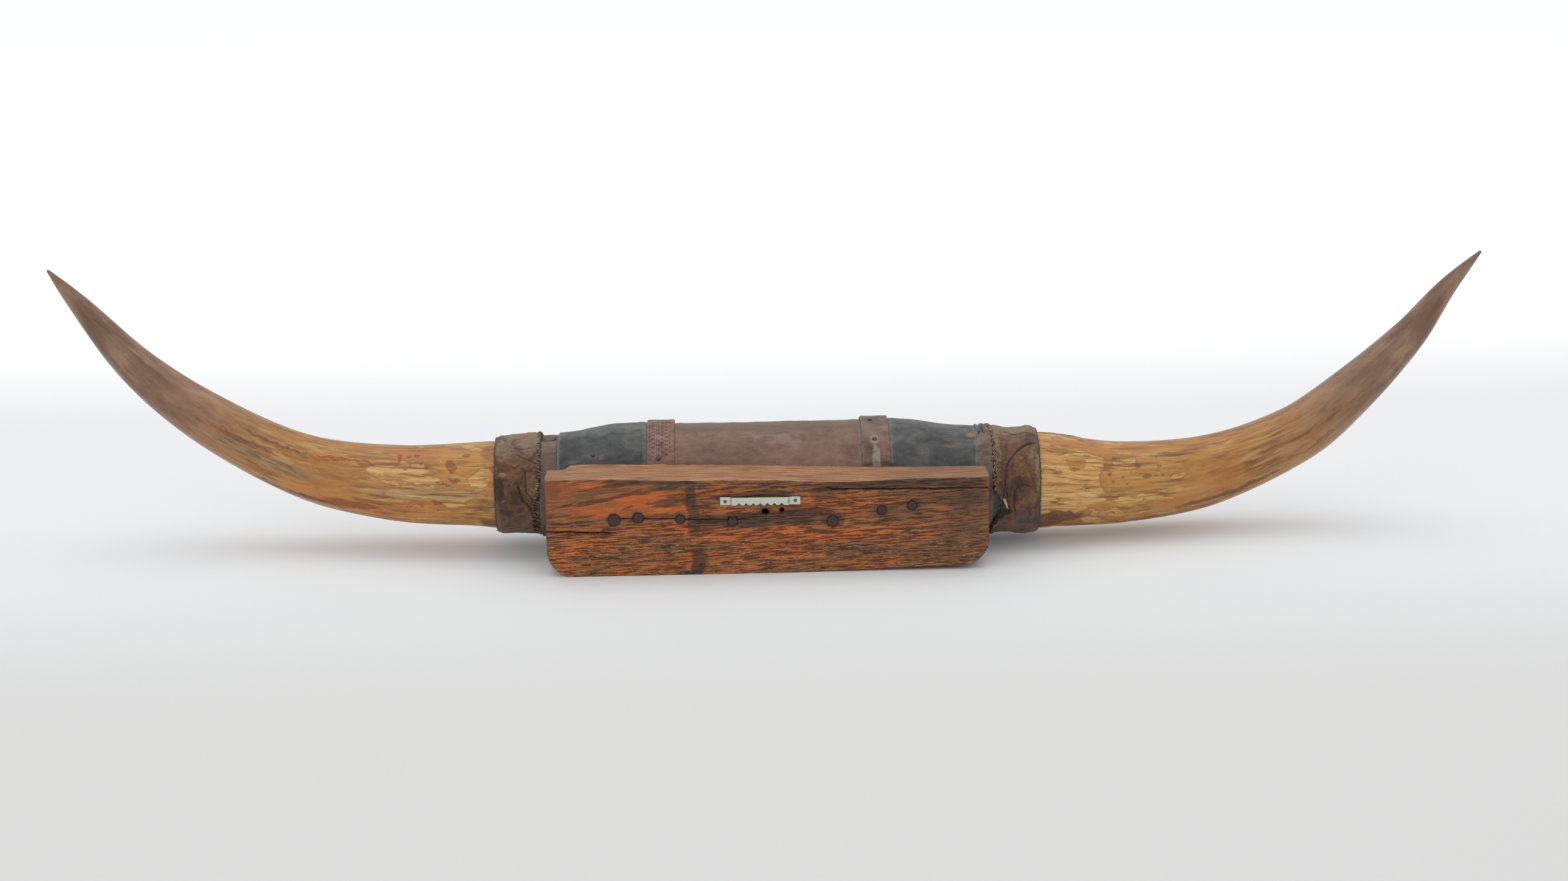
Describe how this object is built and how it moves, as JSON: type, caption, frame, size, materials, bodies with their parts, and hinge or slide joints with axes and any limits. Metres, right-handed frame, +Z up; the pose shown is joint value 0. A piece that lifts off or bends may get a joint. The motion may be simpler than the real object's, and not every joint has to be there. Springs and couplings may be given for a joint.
{
  "type": "mounted steer horns",
  "caption": "Wide pair of upswept steer horns joined by a padded, strapped leather roll, nailed to a thick oak wall board with a sawtooth hanger.",
  "frame": {"origin": "centre of the board's flat underside, on the table", "axes": "+X along the horns towards the plain strap and the cuff with the torn seam, -Y out of the board's wall side with the hanger, +Z up"},
  "size_m": [1.407, 0.17, 0.2851],
  "materials": {
    "oak": "weathered, worn orange stain",
    "core_wood": "sawn",
    "padding": "cotton wadding",
    "black_leather": "worn, dusty",
    "brown_leather": "worn, dusty",
    "tooled_strap": "tooled, cracked",
    "plain_strap": "smooth, worn",
    "end_strap_leather": "smooth, dusty",
    "hide": "raw hide, dusty",
    "lacing": "waxed thong",
    "horn": "natural keratin, flaky at the base, polished at the tip",
    "nail_iron": "rusted",
    "plated_steel": "dull plating",
    "brad_steel": "tarnished",
    "tack_steel": "tarnished",
    "screw_steel": "plain"
  },
  "bodies": {
    "root": {"oak_backboard": "oak", "board_nails": "nail_iron", "sawtooth_hanger": "plated_steel", "hanger_brads": "brad_steel", "core_beam": "core_wood", "roll_padding": "padding", "leather_sleeve_left": "black_leather", "leather_centre_panel": "brown_leather", "leather_sleeve_right": "black_leather", "strap_left": "tooled_strap", "strap_right": "plain_strap", "end_strap_left": "end_strap_leather", "end_strap_right": "end_strap_leather", "strap_tacks": "tack_steel", "horn_left": "horn", "horn_right": "horn", "horn_plug_left": "core_wood", "horn_plug_right": "core_wood", "plug_screw_left": "screw_steel", "plug_screw_right": "screw_steel", "horn_nails_left": "nail_iron", "horn_nails_right": "nail_iron", "hide_cuff_left": "hide", "hide_cuff_right": "hide", "cuff_lacing_left": "lacing", "cuff_lacing_right": "lacing"}
  },
  "joints": []
}
